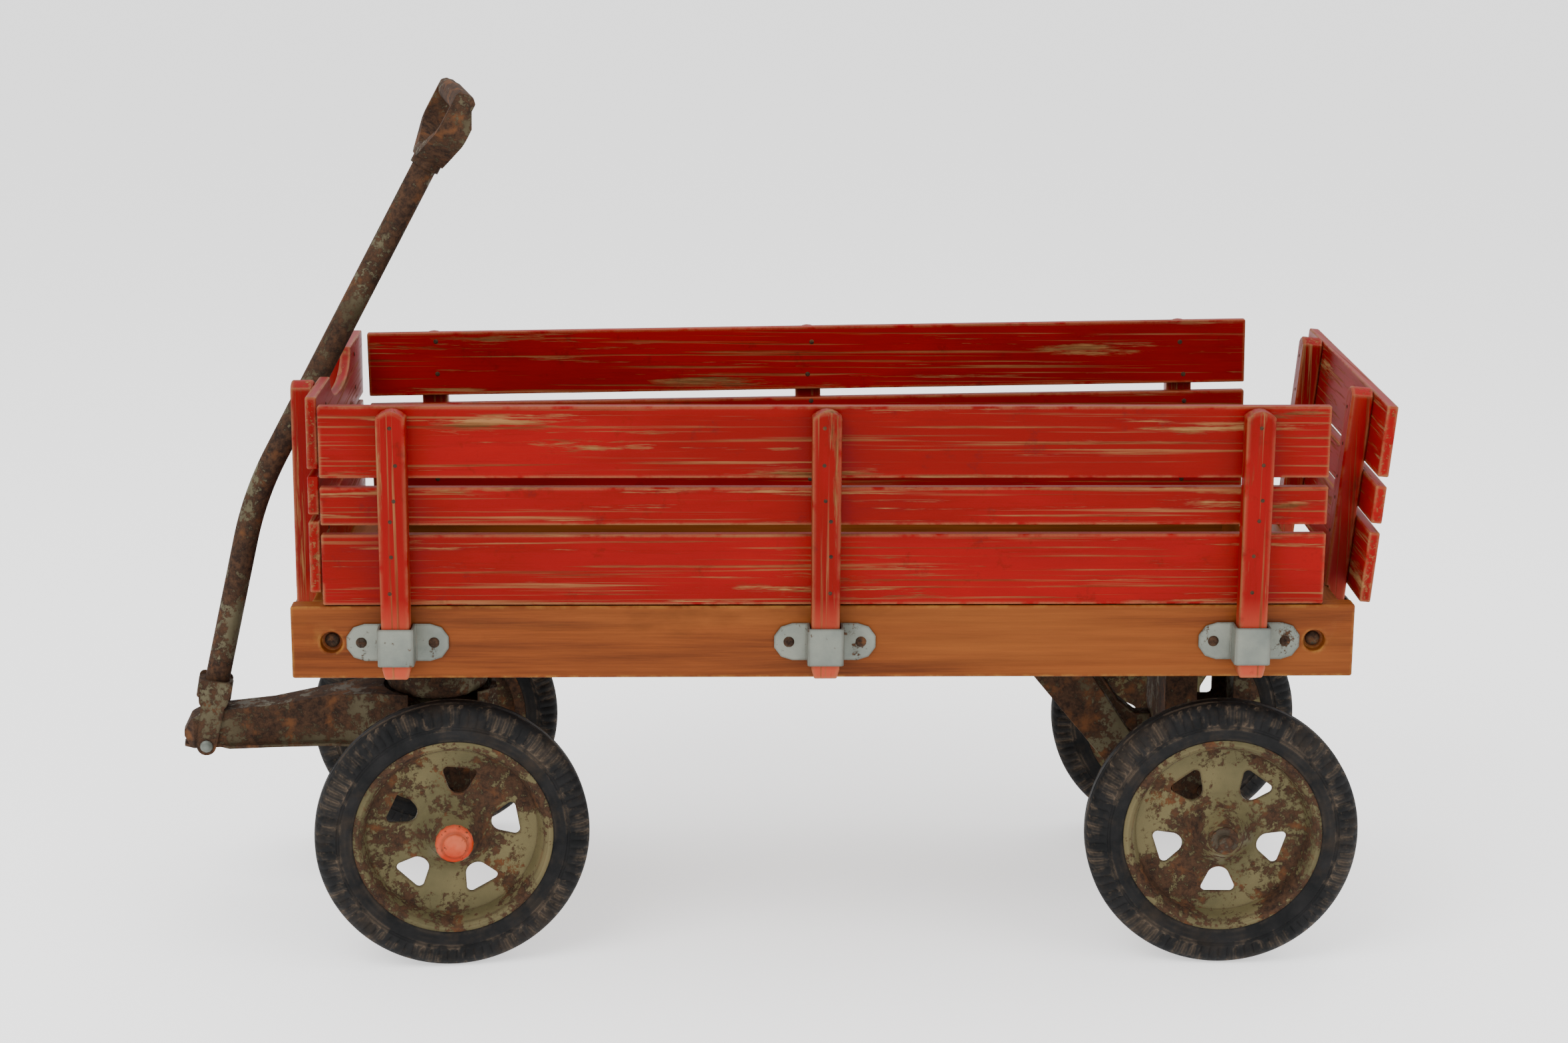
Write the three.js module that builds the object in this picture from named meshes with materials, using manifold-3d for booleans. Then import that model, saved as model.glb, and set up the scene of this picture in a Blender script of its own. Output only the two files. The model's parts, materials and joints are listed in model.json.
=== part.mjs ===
// Stake-sided pull wagon: a wooden bed on a steel running gear. Millimetres, +Z up.
// -X is the front (the tongue and handle), -Y is the wagon's left side. The origin is on the
// floor, under the middle of the whole wagon's outline.
import * as THREE from 'three';
import { mergeVertices } from 'three/addons/utils/BufferGeometryUtils.js';
import Module from 'manifold-3d';

const wasm = await Module();
wasm.setup();

// ---------------------------------------------------------------- driving dimensions
const GAP = 0.3;              // assembly gap between touching pieces
const PAST = 5;               // how far a cutting tool runs past what it cuts

const BED_LENGTH = 914.4;     // over the side rails
const BED_WIDTH = 406.4;      // over the side rails
const BED_Z = 270;            // underside of the rails
const RAIL_HEIGHT = 64;
const RAIL_THICK = 19;
const END_RAIL_THICK = 38;
const FRONT_FACE = 441;       // outer faces of the end rails, from the bed's middle
const REAR_FACE = 446.5;
const FLOOR_THICK = 12;
const FLOOR_RISE = 14;        // floor's underside above the rails' underside
const BOLT_X = 423;           // counterbored holes in the side rails
const COUNTERBORE_R = 9.3;
const COUNTERBORE_DEPTH = 9;

const BOARD_THICK = 9.5;
const WIDE_BOARD = 62;
const NARROW_BOARD = 33;
const BOARD_FOOT = 1;         // lowest board's underside above the rails' top edge
const SIDE_PANEL_LENGTH = 857.8;
const END_PANEL_LENGTH = 394;
const STAKE_WIDTH = 25;
const STAKE_THICK = 19;
const STAKE_FOOT_Z = 4;       // stake feet above the rails' underside
const STAKE_ARCH = 5;         // height of the arched stake top
const SIDE_STAKE_X = [-366, 0, 366];
const END_STAKE_Y = [-127, 127];
const FOOT_SLACK = 0.4;       // left round a stake's foot in its bracket
const RIGHT_TILT = THREE.MathUtils.degToRad(-0.97);  // right panel, up at the rear
const FRONT_ROLL = THREE.MathUtils.degToRad(-1.44);  // front panel, up on the left
const FRONT_YAW = THREE.MathUtils.degToRad(1.03);
const FRONT_PANEL_X = -443.75;
const REAR_LEAN = THREE.MathUtils.degToRad(5.2);
const REAR_YAW = THREE.MathUtils.degToRad(-1.66);
const REAR_PANEL_X = 467.4;
const SCOOP_HALF = 88;        // handle rest in the front panel's top board
const SCOOP_DEPTH = 25;

const BRACKET_LENGTH = 89;
const BRACKET_HEIGHT = 33;
const BRACKET_Z = 16;         // lower edge above the rails' underside
const BRACKET_SHEET = 2.3;
const POCKET_WIDTH = 26.4;
const POCKET_DEPTH = 19.8;

const TYRE_R = 120.5;
const RIM_R = 87.8;
const WHEEL_Y = 177;          // wheel centre planes
const HUB_HALF = 27;
const AXLE_R = 6.35;
const BORE_R = 6.65;
const AXLE_SHEET = 3;         // sheet of the front axle's bracket
const WINDOWS = 5;
const FRONT_LEFT_PHASE = 3.0;   // how far each wheel has rolled round
const FRONT_RIGHT_PHASE = -0.07;
const REAR_LEFT_PHASE = 0;
const REAR_RIGHT_PHASE = -0.305;
const REAR_AXLE_X = 358.5;
const REAR_SKEW = THREE.MathUtils.degToRad(-1.73);  // the rear axle sits askew

const KINGPIN_X = -352.5;
const FRONT_AXLE_TRAIL = 4;   // front axle behind the kingpin
const STEER = THREE.MathUtils.degToRad(7.5);
const DRUM_R = 48;
const TURNTABLE_Z = 200;      // face where the drum turns in the tongue's dish
const DISH_R = 53;
const DISH_RIM_Z = 206;
const TONGUE_SHEET = 2.6;
const TONGUE_Z = 156.5;       // lower edge of the tongue channel
const PIVOT_R = 213;          // kingpin to handle pivot
const PIVOT_Z = 159;
const NOSE_HALF = 15;         // half width of the tongue at the handle pivot
const NOSE_REACH = 20;        // tongue beyond the handle pivot

const EAR_IN = NOSE_HALF + 0.5;   // fork's ears, from the tongue's middle plane
const EAR_OUT = EAR_IN + 2.8;
const FORK_LEAN = THREE.MathUtils.degToRad(10.3);
const TUBE_R = 11.1;
const TUBE_WALL = 1.8;
const TUBE_SIDES = 12;
const TUBE_FOOT_X = -2;       // tube's centre line ahead of the pivot, at the pivot's height
const TUBE_START_Z = 44;      // lower end of the tube above its pivot
const LOWER_LEAN = THREE.MathUtils.degToRad(13.1);
const BEND_Z = 231;           // bend of the handle tube above its pivot
const BEND_REACH = 42;        // from the bend's corner to where the tube runs straight
const UPPER_LEAN = THREE.MathUtils.degToRad(28.4);
const TUBE_TOP_Z = 536;       // end of the tube above its pivot
const PIVOT_BOLT_R = 4;
const GRIP_WIDTH = 112;
const GRIP_SEAT = 18;         // depth of the tube's end in the grip's collar
const GRIP_TWIST = THREE.MathUtils.degToRad(5);

// ---------------------------------------------------------------- materials
const metal = (colour, roughness) =>
  new THREE.MeshStandardMaterial({ color: colour, roughness, metalness: 0.6 });
const matt = (colour, roughness) =>
  new THREE.MeshStandardMaterial({ color: colour, roughness, metalness: 0 });
const railWood = () => matt(0xa8602c, 0.6);
const floorWood = () => matt(0x9a6236, 0.7);
const redPaint = () => matt(0xb5271f, 0.6);
const zinc = () => metal(0xa3a496, 0.5);
const rustySteel = () => metal(0x6b5140, 0.75);
const darkSteel = () => metal(0x5a4638, 0.7);
const wheelPaint = () => metal(0x8b8a70, 0.7);
const rubber = () => matt(0x2b2b2c, 0.85);
const capRed = () => matt(0xd0503c, 0.5);

// ---------------------------------------------------------------- solids
function toManifold(geometry) {
  const bare = geometry.clone();
  bare.deleteAttribute('normal');
  bare.deleteAttribute('uv');
  const merged = mergeVertices(bare, 1e-4);
  const corners = merged.index.array;
  const triangles = [];
  for (let i = 0; i < corners.length; i += 3) {
    const [a, b, c] = corners.slice(i, i + 3);
    if (a !== b && b !== c && c !== a) triangles.push(a, b, c);
  }
  return new wasm.Manifold(new wasm.Mesh({
    numProp: 3,
    vertProperties: Float32Array.from(merged.attributes.position.array),
    triVerts: Uint32Array.from(triangles),
  }));
}

function toGeometry(manifold) {
  const mesh = manifold.getMesh();
  const geometry = new THREE.BufferGeometry();
  geometry.setAttribute('position', new THREE.BufferAttribute(Float32Array.from(mesh.vertProperties), 3));
  geometry.setIndex(new THREE.BufferAttribute(Uint32Array.from(mesh.triVerts), 1));
  geometry.computeVertexNormals();
  return geometry;
}

const union = (...parts) => toGeometry(parts.map(toManifold).reduce((a, b) => a.add(b)));
const cut = (body, ...tools) => toGeometry(tools.map(toManifold).reduce((a, b) => a.subtract(b), toManifold(body)));
const common = (a, b) => toGeometry(toManifold(a).intersect(toManifold(b)));

// Outline round a list of circles [x, y, radius], given anticlockwise: arcs joined by tangents.
function hullOutline(circles, arcSteps = 5) {
  const angleTo = (a, b) => {
    const dx = b[0] - a[0];
    const dy = b[1] - a[1];
    return Math.atan2(dy, dx) - Math.acos((a[2] - b[2]) / Math.hypot(dx, dy));
  };
  const points = [];
  circles.forEach((circle, i) => {
    const before = circles[(i + circles.length - 1) % circles.length];
    const after = circles[(i + 1) % circles.length];
    const start = angleTo(before, circle);
    let sweep = (angleTo(circle, after) - start) % (2 * Math.PI);
    if (sweep < 0) sweep += 2 * Math.PI;
    for (let k = 0; k <= arcSteps; k++) {
      const t = start + (sweep * k) / arcSteps;
      points.push(new THREE.Vector2(circle[0] + circle[2] * Math.cos(t), circle[1] + circle[2] * Math.sin(t)));
    }
  });
  return new THREE.Shape(points);
}

// Polygon moved inwards by a distance, for one given anticlockwise.
function inset(points, distance) {
  const edges = points.map(([x, y], i) => {
    const [nx, ny] = points[(i + 1) % points.length];
    const length = Math.hypot(nx - x, ny - y);
    const normal = [-(ny - y) / length, (nx - x) / length];
    return { normal, offset: normal[0] * x + normal[1] * y + distance };
  });
  return edges.map((edge, i) => {
    const before = edges[(i + edges.length - 1) % edges.length];
    const det = before.normal[0] * edge.normal[1] - before.normal[1] * edge.normal[0];
    if (Math.abs(det) < 1e-6) {
      return [points[i][0] + edge.normal[0] * distance, points[i][1] + edge.normal[1] * distance];
    }
    return [
      (before.offset * edge.normal[1] - edge.offset * before.normal[1]) / det,
      (before.normal[0] * edge.offset - edge.normal[0] * before.offset) / det,
    ];
  });
}

const polygon = (points) => new THREE.Shape(points.map(([x, y]) => new THREE.Vector2(x, y)));

// Extrusions of an outline: up from z0, or through the thickness y0 to y1 with the outline in XZ.
function upright(shape, z0, z1) {
  return new THREE.ExtrudeGeometry(shape, { depth: z1 - z0, bevelEnabled: false }).translate(0, 0, z0);
}

function sideways(shape, y0, y1) {
  return new THREE.ExtrudeGeometry(shape, { depth: y1 - y0, bevelEnabled: false })
    .rotateX(Math.PI / 2)
    .translate(0, y1, 0);
}

// Extrusion of an outline in YZ from x0 to x1.
function lengthways(shape, x0, x1) {
  return new THREE.ExtrudeGeometry(shape, { depth: x1 - x0, bevelEnabled: false })
    .rotateX(Math.PI / 2)
    .rotateZ(Math.PI / 2)
    .translate(x0, 0, 0);
}

const box = (x0, x1, y0, y1, z0, z1) =>
  new THREE.BoxGeometry(x1 - x0, y1 - y0, z1 - z0).translate((x0 + x1) / 2, (y0 + y1) / 2, (z0 + z1) / 2);

// Turned solid about Y from an anticlockwise profile of [radius, y]; about Z with turnedUp.
function turned(profile, segments) {
  const points = profile.map(([r, y]) => new THREE.Vector2(r, y));
  if (profile[0][0] > 0) points.push(points[0].clone());
  return new THREE.LatheGeometry(points, segments);
}
const turnedUp = (profile, segments) => turned(profile, segments).rotateX(Math.PI / 2);

const rodY = (radius, y0, y1, segments) =>
  new THREE.CylinderGeometry(radius, radius, y1 - y0, segments).translate(0, (y0 + y1) / 2, 0);
const rodZ = (radius, z0, z1, segments) =>
  new THREE.CylinderGeometry(radius, radius, z1 - z0, segments).rotateX(Math.PI / 2).translate(0, 0, (z0 + z1) / 2);

function addPiece(parent, name, geometry, material) {
  const mesh = new THREE.Mesh(geometry, material);
  mesh.name = name;
  parent.add(mesh);
  return mesh;
}

function addGroup(parent, x, y, z) {
  const group = new THREE.Group();
  group.position.set(x, y, z);
  parent.add(group);
  return group;
}

// ---------------------------------------------------------------- bed
const HALF_LENGTH = BED_LENGTH / 2;
const HALF_WIDTH = BED_WIDTH / 2;
const RAIL_TOP = BED_Z + RAIL_HEIGHT;
const FLOOR_Z = BED_Z + FLOOR_RISE;
const FLOOR_TOP = FLOOR_Z + FLOOR_THICK;
const KINGPIN_HEAD_R = 12;
const HEAD_Z = FLOOR_TOP - 7.2;  // kingpin's head lies sunk in the floor
const BRACKET_TOP = BED_Z + BRACKET_Z + BRACKET_HEIGHT;
const POCKET_Z = BRACKET_TOP - BRACKET_HEIGHT / 2;
const SEAT_GAP = 0.1;         // side boards' outer faces beyond the rails'

function sideRail(side) {
  const outer = side * HALF_WIDTH;
  const inner = side * (HALF_WIDTH - RAIL_THICK);
  const rail = box(-HALF_LENGTH, HALF_LENGTH, Math.min(outer, inner), Math.max(outer, inner), BED_Z, RAIL_TOP);
  const face = HALF_WIDTH - COUNTERBORE_DEPTH;
  const bores = [-BOLT_X, BOLT_X].map((x) =>
    rodY(COUNTERBORE_R, face, HALF_WIDTH + PAST, 20)
      .rotateX(side < 0 ? Math.PI : 0)
      .translate(x, 0, BED_Z + RAIL_HEIGHT / 2));
  return cut(rail, ...bores);
}

function buildBed(parent) {
  const insideY = HALF_WIDTH - RAIL_THICK - GAP;
  const frontInner = -FRONT_FACE + END_RAIL_THICK;
  const rearInner = REAR_FACE - END_RAIL_THICK;
  addPiece(parent, 'left_rail', sideRail(-1), railWood());
  addPiece(parent, 'right_rail', sideRail(1), railWood());
  addPiece(parent, 'front_rail', box(-FRONT_FACE, frontInner, -insideY, insideY, BED_Z, RAIL_TOP), railWood());
  addPiece(parent, 'rear_rail', box(rearInner, REAR_FACE, -insideY, insideY, BED_Z, RAIL_TOP), railWood());
  const floor = box(frontInner + GAP, rearInner - GAP, -insideY, insideY, FLOOR_Z, FLOOR_TOP);
  const kingpinHole = rodZ(BORE_R, FLOOR_Z - PAST, FLOOR_TOP + PAST, 20).translate(KINGPIN_X, 0, 0);
  const headRecess = rodZ(KINGPIN_HEAD_R + 1, HEAD_Z, FLOOR_TOP + PAST, 20).translate(KINGPIN_X, 0, 0);
  addPiece(parent, 'bed_floor', cut(floor, kingpinHole, headRecess), floorWood());
}

// Hat-shaped strap with round ears. Local frame: ears on the XZ plane, pocket towards -Y.
function stakeBracket() {
  const half = BRACKET_LENGTH / 2;
  const pocket = POCKET_WIDTH / 2;
  const wall = pocket + BRACKET_SHEET;
  const reach = POCKET_DEPTH + BRACKET_SHEET;
  const hat = polygon([
    [-half, -GAP], [-half, -BRACKET_SHEET], [-wall, -BRACKET_SHEET], [-wall, -reach + 2], [-wall + 2, -reach],
    [wall - 2, -reach], [wall, -reach + 2], [wall, -BRACKET_SHEET], [half, -BRACKET_SHEET], [half, -GAP],
    [pocket, -GAP], [pocket, -POCKET_DEPTH], [-pocket, -POCKET_DEPTH], [-pocket, -GAP],
  ]);
  const round = BRACKET_HEIGHT / 2;
  const ears = hullOutline([[-half + round, round, round], [half - round, round, round]], 5);
  return common(upright(hat, 0, BRACKET_HEIGHT), sideways(ears, -reach - PAST, PAST));
}

function buildBrackets(parent) {
  const places = ['front', 'middle', 'rear'];
  const z = BED_Z + BRACKET_Z;
  const add = (name, x, y, turn) => {
    const bracket = addPiece(parent, name, stakeBracket(), zinc());
    bracket.position.set(x, y, z);
    bracket.rotation.z = turn;
  };
  SIDE_STAKE_X.forEach((x, i) => add(`left_bracket_${places[i]}`, x, -HALF_WIDTH, 0));
  SIDE_STAKE_X.forEach((x, i) => add(`right_bracket_${places[i]}`, x, HALF_WIDTH, Math.PI));
  const hands = ['left', 'right'];
  END_STAKE_Y.forEach((y, i) => add(`front_bracket_${hands[i]}`, -FRONT_FACE, y, -Math.PI / 2));
  END_STAKE_Y.forEach((y, i) => add(`rear_bracket_${hands[i]}`, REAR_FACE, y, Math.PI / 2));
}

// ---------------------------------------------------------------- stake panels
// Panel frame: X along the boards, -Y outwards, z 0 on the rails' top edge. The boards' outer
// face is y 0 and the stakes stand outside it.
function boardLevels(lowGap, highGap) {
  const middle = BOARD_FOOT + WIDE_BOARD + lowGap;
  const top = middle + NARROW_BOARD + highGap;
  return [['bottom', BOARD_FOOT, WIDE_BOARD], ['middle', middle, NARROW_BOARD], ['top', top, WIDE_BOARD]];
}

function board(length, z, height) {
  return box(-length / 2, length / 2, 0, BOARD_THICK, z, z + height);
}

// Tool for the handle's scoop: steep at its lips and nearly flat in the middle.
function scoop(panelTop) {
  const steps = 14;
  const flatness = 2.6;
  const points = [];
  for (let i = 0; i <= steps; i++) {
    const t = -Math.cos((Math.PI * i) / steps);
    const depth = SCOOP_DEPTH * Math.sqrt(1 - Math.abs(t) ** flatness);
    points.push([SCOOP_HALF * t, panelTop - depth]);
  }
  points.push([SCOOP_HALF, panelTop + PAST], [-SCOOP_HALF, panelTop + PAST]);
  return sideways(polygon(points), -PAST, BOARD_THICK + PAST);
}

// Stake with an arched top and a foot that narrows a little below the rails' top edge.
function stake(top) {
  const chamfer = 1.4;
  const half = STAKE_WIDTH / 2 - chamfer;
  const foot = half - 0.5;
  const shoulderZ = 6;
  const bottom = STAKE_FOOT_Z - RAIL_HEIGHT + chamfer;
  const taperZ = bottom + 7;
  const points = [[-foot + 2, bottom], [foot - 2, bottom], [foot, taperZ], [half, shoulderZ]];
  const archSteps = 6;
  for (let i = 0; i <= archSteps; i++) {
    const t = 1 - (2 * i) / archSteps;
    points.push([half * t, top - chamfer - STAKE_ARCH * t * t]);
  }
  points.push([-half, shoulderZ], [-foot, taperZ]);
  return new THREE.ExtrudeGeometry(polygon(points), {
    depth: STAKE_THICK - 2 * chamfer,
    bevelEnabled: true,
    bevelSize: chamfer,
    bevelThickness: chamfer,
    bevelSegments: 1,
  }).rotateX(Math.PI / 2).translate(0, -GAP - chamfer, 0);
}

function buildPanel(parent, prefix, length, stakes, { lowGap, highGap, stakeRise, scooped }) {
  const levels = boardLevels(lowGap, highGap);
  const panelTop = levels[2][1] + WIDE_BOARD;
  levels.forEach(([level, z, height]) => {
    let plank = board(length, z, height);
    if (scooped && level === 'top') plank = cut(plank, scoop(panelTop));
    addPiece(parent, `${prefix}_board_${level}`, plank, redPaint());
  });
  return stakes.map(([place, x]) => {
    const piece = addPiece(parent, `${prefix}_stake_${place}`, stake(panelTop + stakeRise), redPaint());
    piece.position.x = x;
    return piece;
  });
}

// Takes off what a stake's foot has too much of, with tools given in the frame of the wagon.
function shaveFoot(wagon, piece, tools) {
  wagon.updateMatrixWorld(true);
  const toPiece = piece.matrixWorld.clone().invert().multiply(wagon.matrixWorld);
  piece.geometry = cut(piece.geometry, ...tools.map((tool) => tool.clone().applyMatrix4(toPiece)));
}

function buildSidePanels(parent) {
  const places = ['front', 'middle', 'rear'];
  const left = addGroup(parent, 0, -HALF_WIDTH - SEAT_GAP, RAIL_TOP);
  const leftStakes = places.map((place, i) => [place, SIDE_STAKE_X[i]]);
  buildPanel(left, 'left', SIDE_PANEL_LENGTH, leftStakes, { lowGap: 8, highGap: 8, stakeRise: -1 });

  // The right panel has stuck a little high at the rear, turned about its front stake's pocket.
  const right = addGroup(parent, SIDE_STAKE_X[0], HALF_WIDTH + SEAT_GAP, POCKET_Z + 0.6);
  right.rotation.y = RIGHT_TILT;
  const rightInner = addGroup(right, -SIDE_STAKE_X[0], 0, RAIL_TOP - POCKET_Z);
  rightInner.rotation.z = Math.PI;
  const rightStakes = places.map((place, i) => [place, -SIDE_STAKE_X[i]]);
  buildPanel(rightInner, 'right', SIDE_PANEL_LENGTH, rightStakes, { lowGap: 2, highGap: 8, stakeRise: -2 });
}

function buildEndPanels(parent) {
  const endStakes = [['left', -END_STAKE_Y[0]], ['right', -END_STAKE_Y[1]]];
  const reach = 60;
  const footTop = RAIL_TOP + GAP;
  const footBottom = BED_Z - PAST;
  const acrossHalf = END_PANEL_LENGTH / 2;

  // The front panel has stuck high on the left, turned about its right stake's pocket.
  const frontX = FRONT_PANEL_X - END_STAKE_Y[1] * Math.tan(FRONT_YAW);
  const front = addGroup(parent, frontX, END_STAKE_Y[1], POCKET_Z + 1.1);
  front.rotation.set(FRONT_ROLL, 0, FRONT_YAW, 'ZYX');
  const frontInner = addGroup(front, 0, -END_STAKE_Y[1], RAIL_TOP - POCKET_Z);
  frontInner.rotation.z = -Math.PI / 2;
  const frontLimit = -FRONT_FACE - POCKET_DEPTH + FOOT_SLACK;
  const frontTool = box(frontLimit - reach, frontLimit, -acrossHalf, acrossHalf, footBottom, footTop);
  buildPanel(frontInner, 'front', END_PANEL_LENGTH, endStakes,
    { lowGap: 6.2, highGap: 6.2, stakeRise: 3.5, scooped: true })
    .forEach((piece) => shaveFoot(parent, piece, [frontTool]));

  // The rear panel is dropped in the other way round, boards outwards, and leans back.
  const rear = addGroup(parent, REAR_PANEL_X, 0, RAIL_TOP);
  rear.rotation.set(0, REAR_LEAN, REAR_YAW, 'ZYX');
  const rearInner = addGroup(rear, 0, 0, 0);
  rearInner.rotation.z = -Math.PI / 2;
  const inner = REAR_FACE + FOOT_SLACK;
  const outer = REAR_FACE + POCKET_DEPTH - FOOT_SLACK;
  const innerTool = box(inner - reach, inner, -acrossHalf, acrossHalf, footBottom, footTop);
  const outerTool = box(0, reach, -acrossHalf, acrossHalf, -reach, footTop - BRACKET_TOP)
    .rotateY(REAR_LEAN)
    .translate(outer, 0, BRACKET_TOP);
  buildPanel(rearInner, 'rear', END_PANEL_LENGTH, endStakes, { lowGap: 8, highGap: 8, stakeRise: 2 })
    .forEach((piece) => shaveFoot(parent, piece, [innerTool, outerTool]));
}

// ---------------------------------------------------------------- wheels and axles
// Wheel frame: +Y is the outer side, y 0 the wheel's centre plane.
function tyre() {
  const outerHalf = [[88.9, 15.9], [98, 18.6], [113, 17.4], [TYRE_R, 7.5]];
  const foot = 12.4;
  const profile = [
    [81.3, foot], [81.3, -foot], [88.9, -foot],
    ...outerHalf.map(([r, y]) => [r, -y]),
    ...[...outerHalf].reverse(),
    [88.9, foot],
  ];
  return turned(profile, 28);
}

function windowShape() {
  return hullOutline([[0, 45, 10], [10.6, 54.2, 4.3], [-10.6, 54.2, 4.3]], 3);
}

// Pressed wheel: hub tube, dished disc, and a channel rim that holds the tyre's foot.
function wheelDisc(windowPhase) {
  const profile = [
    [BORE_R, -HUB_HALF], [13, -HUB_HALF], [13, 8], [19, 8], [33, -6.3], [62, -6.8], [74, -5.4], [77.8, -5.4],
    [77.8, -15.4], [RIM_R, -15.4], [RIM_R, -13.1], [80.3, -13.1], [80.3, 13.1], [RIM_R, 13.1], [86.8, 15.4],
    [82.5, 16], [77, 9], [75.5, -2.5], [62, -4], [36, -3.5], [24, 8], [17, 20], [14, HUB_HALF],
    [BORE_R, HUB_HALF],
  ];
  const windows = [];
  for (let i = 0; i < WINDOWS; i++) {
    const angle = windowPhase + (2 * Math.PI * i) / WINDOWS;
    windows.push(sideways(windowShape(), -12, 8).rotateY(angle));
  }
  return cut(turned(profile, 24), ...windows);
}

// Cap pressed over the front left hub's end.
function hubCap() {
  const seat = HUB_HALF + GAP;
  const profile = [
    [14.6, seat], [16.7, seat], [16.7, seat + 4], [15.4, seat + 6.5], [11, seat + 8.5], [10.2, seat + 11],
    [7, seat + 13], [0, seat + 13.6], [0, seat + 11.6], [9, seat + 10.5], [14.6, seat + 5.5],
  ];
  return new THREE.LatheGeometry([...profile, profile[0]].map(([r, y]) => new THREE.Vector2(r, y)), 16);
}

// Axle with its shoulders inside the wheels and its end washers outside them. The ends stand
// out of the washers by leftEnd and rightEnd.
function axle(leftEnd, rightEnd) {
  const shoulder = WHEEL_Y - HUB_HALF - 0.7;
  const washer = WHEEL_Y + HUB_HALF + 0.4;
  const half = (end) => [
    [AXLE_R, shoulder - 3], [10.5, shoulder - 3], [10.5, shoulder], [AXLE_R, shoulder], [AXLE_R, washer],
    [12.5, washer], [12.5, washer + 2.2], [AXLE_R, washer + 2.2], [AXLE_R, washer + end - 1],
    [AXLE_R - 1, washer + end], [0, washer + end],
  ];
  const mirrored = half(leftEnd).reverse().map(([r, y]) => [r, -y]);
  return turned([...mirrored, ...half(rightEnd)], 12);
}

function buildWheel(parent, name, side, windowPhase, capped) {
  const wheel = addGroup(parent, 0, side * WHEEL_Y, TYRE_R);
  if (side < 0) wheel.rotation.x = Math.PI;
  addPiece(wheel, `${name}_tyre`, tyre(), rubber());
  addPiece(wheel, `${name}_wheel`, wheelDisc(windowPhase), wheelPaint());
  if (capped) addPiece(wheel, `${name}_hub_cap`, hubCap(), capRed());
}

// ---------------------------------------------------------------- rear gear
// Pressed box under the floor that tapers to the axle, with a tall opening in each end.
function rearBracket() {
  const sheet = 3;
  const end = 70;
  const footHalf = 26;
  const topHalf = 39;
  const bottom = TYRE_R - 14;
  const shoulder = bottom + 60;
  const top = FLOOR_Z - GAP;
  const outline = [
    [-footHalf, bottom], [footHalf, bottom], [topHalf, shoulder], [topHalf, top], [-topHalf, top],
    [-topHalf, shoulder],
  ];
  const hollow = inset(outline, sheet);
  hollow[0][1] = bottom - PAST;
  hollow[1][1] = bottom - PAST;
  const shell = cut(sideways(polygon(outline), -end, end), sideways(polygon(hollow), -end + sheet, end - sheet));
  const opening = hullOutline([[-6, 178, 4], [19, 178, 4], [19, 268, 4], [-6, 268, 4]], 2);
  const axleHole = rodY(BORE_R, -end - PAST, end + PAST, 16).translate(0, 0, TYRE_R);
  return cut(shell, sideways(opening, -end - PAST, end + PAST), axleHole);
}

// Pressed tray brace from the floor down to the rear bracket, its web on the outer side.
function rearBrace(side) {
  const webY = 63;
  const flange = 18;
  const sheet = 2.6;
  const top = FLOOR_Z - GAP;
  const outline = [
    [-75, 112], [-27.6, 112], [-38, 160], [-52, 160], [-69, 173.5], [-142, top], [-206, top], [-92.7, 148],
  ];
  const across = (shape, from, to) =>
    sideways(shape, Math.min(side * from, side * to), Math.max(side * from, side * to));
  return cut(
    across(polygon(outline), webY, webY - flange),
    across(polygon(inset(outline, sheet)), webY - sheet, 0),
  );
}

function buildRearGear(parent) {
  const gear = addGroup(parent, REAR_AXLE_X, 0, 0);
  gear.rotation.z = REAR_SKEW;
  addPiece(gear, 'rear_axle_bracket', rearBracket(), rustySteel());
  addPiece(gear, 'rear_brace_left', rearBrace(-1), rustySteel());
  addPiece(gear, 'rear_brace_right', rearBrace(1), rustySteel());
  addPiece(gear, 'rear_axle', axle(9, 9).translate(0, 0, TYRE_R), darkSteel());
  buildWheel(gear, 'rear_left', -1, REAR_LEFT_PHASE, false);
  buildWheel(gear, 'rear_right', 1, REAR_RIGHT_PHASE, false);
}

// ---------------------------------------------------------------- front gear
// Upper half of the turntable: a flanged cup hung under the floor.
function drum() {
  const top = FLOOR_Z - GAP;
  const profile = [
    [BORE_R, TURNTABLE_Z], [30, TURNTABLE_Z], [40, TURNTABLE_Z + 2.5], [45.5, TURNTABLE_Z + 7],
    [DRUM_R, TURNTABLE_Z + 14], [DRUM_R, top - 3], [50, top - 3], [50, top], [45, top], [45, TURNTABLE_Z + 15],
    [38, TURNTABLE_Z + 6], [30, TURNTABLE_Z + 3], [BORE_R, TURNTABLE_Z + 3],
  ];
  return turnedUp(profile, 24);
}

function kingpin() {
  const nutTop = TONGUE_Z - GAP - AXLE_SHEET - GAP;
  const bolt = rodZ(AXLE_R, nutTop - 14, HEAD_Z + 2, 16);
  const head = turnedUp([[0, HEAD_Z + GAP], [KINGPIN_HEAD_R, HEAD_Z + GAP], [10, HEAD_Z + 4], [5, HEAD_Z + 6],
    [0, HEAD_Z + 6.4]], 16);
  const nut = rodZ(11, nutTop - 10, nutTop, 6);
  return union(bolt, head, nut);
}

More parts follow.
